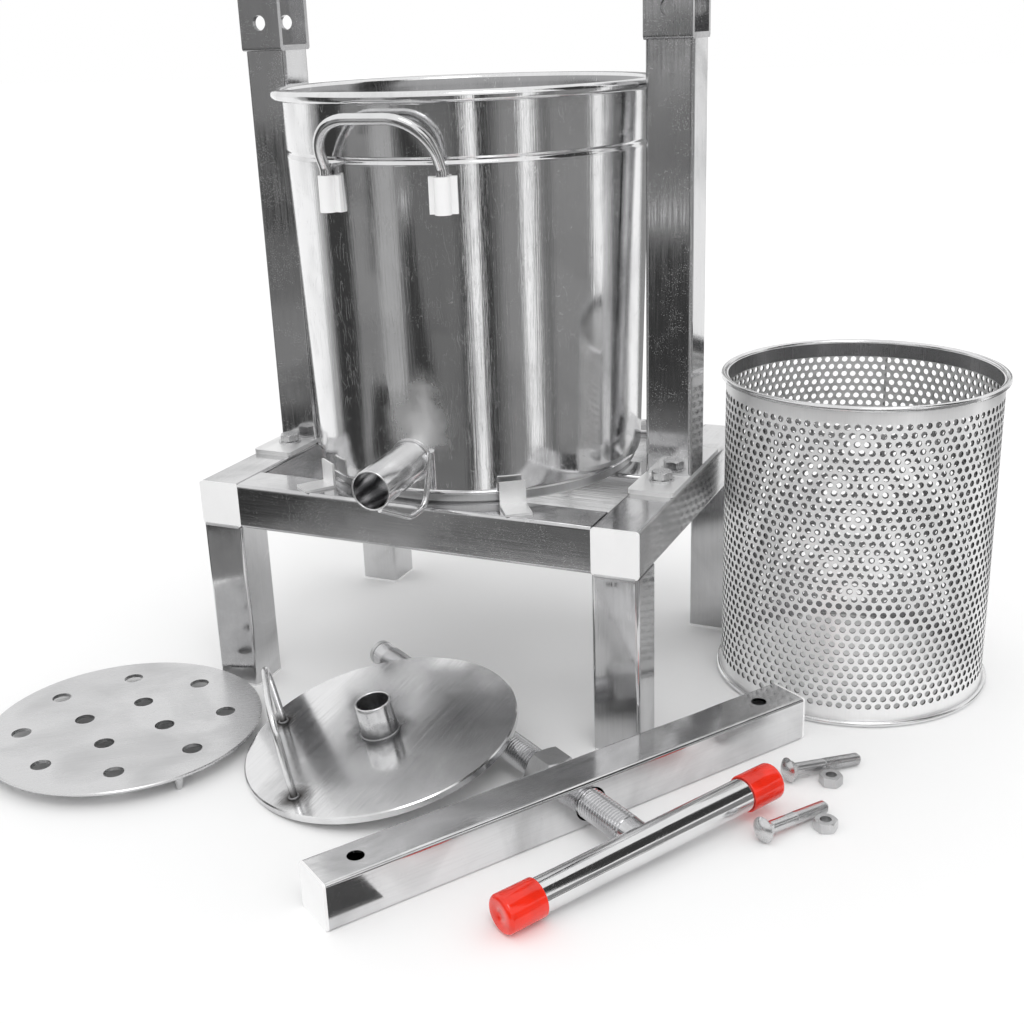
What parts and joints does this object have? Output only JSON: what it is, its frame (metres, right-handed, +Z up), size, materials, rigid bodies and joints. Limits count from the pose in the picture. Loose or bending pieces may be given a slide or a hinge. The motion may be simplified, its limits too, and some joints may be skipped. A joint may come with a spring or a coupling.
{
  "type": "manual fruit press",
  "caption": "Hand-turned screw press laid out in pieces: square-tube stand with uprights, pot with spout, perforated basket, plates, cross beam and red-capped T handle.",
  "frame": {"origin": "middle of the whole layout's bounding box, on the floor", "axes": "+X to the right along the stand's cross rails, +Y to the back along its side rails, +Z up"},
  "size_m": [0.7836, 0.6394, 0.6015],
  "materials": {
    "stand_tube": "polished",
    "stand_plate": "satin",
    "polished_sheet": "mirror",
    "basket_sheet": "satin",
    "brushed_plate": "brushed",
    "rod_steel": "polished",
    "fastener_steel": "satin",
    "screw_steel": "machined",
    "red_plastic": "gloss"
  },
  "bodies": {
    "stand": {"left_side_rail": "stand_tube", "right_side_rail": "stand_tube", "front_cross_rail": "stand_tube", "middle_cross_rail": "stand_tube", "rear_cross_rail": "stand_tube", "front_left_leg": "stand_tube", "front_right_leg": "stand_tube", "rear_left_leg": "stand_tube", "rear_right_leg": "stand_tube", "rail_end_plates": "stand_plate", "leg_foot_plates": "stand_plate", "pot_locating_tabs": "stand_plate", "left_upright": "stand_tube", "right_upright": "stand_tube", "left_base_plate": "stand_plate", "right_base_plate": "stand_plate", "left_beam_fork": "stand_plate", "right_beam_fork": "stand_plate", "base_plate_bolts": "fastener_steel", "base_plate_washers": "fastener_steel", "base_plate_nuts": "fastener_steel", "cross_beam": "stand_tube", "beam_end_plates": "stand_plate", "press_nut": "fastener_steel", "beam_bolts": "fastener_steel", "beam_bolt_nuts": "fastener_steel"},
    "pot": {"pot_body": "polished_sheet", "pot_base_disc": "polished_sheet", "spout_tube": "polished_sheet", "spout_support_wire": "rod_steel", "front_pot_handle": "rod_steel", "front_handle_brackets": "polished_sheet", "rear_pot_handle": "rod_steel", "rear_handle_brackets": "polished_sheet"},
    "basket": {"basket_shell": "basket_sheet", "basket_top_rim": "polished_sheet", "basket_bottom_rim": "polished_sheet"},
    "drain_plate": {"drain_plate": "brushed_plate", "drain_plate_legs": "rod_steel"},
    "press_plate": {"press_plate_disc": "brushed_plate", "press_plate_hub": "rod_steel", "press_plate_loop": "rod_steel"},
    "screw_travel_body": {"thrust_cap": "screw_steel"},
    "screw_and_handle": {"press_screw": "screw_steel", "t_handle_tube": "polished_sheet", "left_handle_cap": "red_plastic", "right_handle_cap": "red_plastic"}
  },
  "joints": [
    {"name": "screw_travel", "type": "slide", "parent": "stand", "child": "screw_travel_body", "axis": [-0.8443, 0.5358, 0], "range_m": [0, 0.036]},
    {"name": "screw_turn", "type": "hinge", "parent": "screw_travel_body", "child": "screw_and_handle", "pos_m": [0.13145, -0.12479, 0.0187], "axis": [-0.8443, 0.5358, 0], "range_deg": [0, 4320]},
    {"name": "pot_lift", "type": "slide", "parent": "stand", "child": "pot", "axis": [0, 0, 1], "range_m": [0, 0.3]},
    {"name": "basket_lift", "type": "slide", "parent": "stand", "child": "basket", "axis": [0, 0, 1], "range_m": [0, 0.3]},
    {"name": "drain_plate_lift", "type": "slide", "parent": "stand", "child": "drain_plate", "axis": [0, 0, 1], "range_m": [0, 0.12]},
    {"name": "press_plate_lift", "type": "slide", "parent": "stand", "child": "press_plate", "axis": [0, 0, 1], "range_m": [0, 0.1]}
  ],
  "couplings": [
    {"joint": "screw_travel", "follows": "screw_turn", "m_per_rad": 0.00047746}
  ]
}
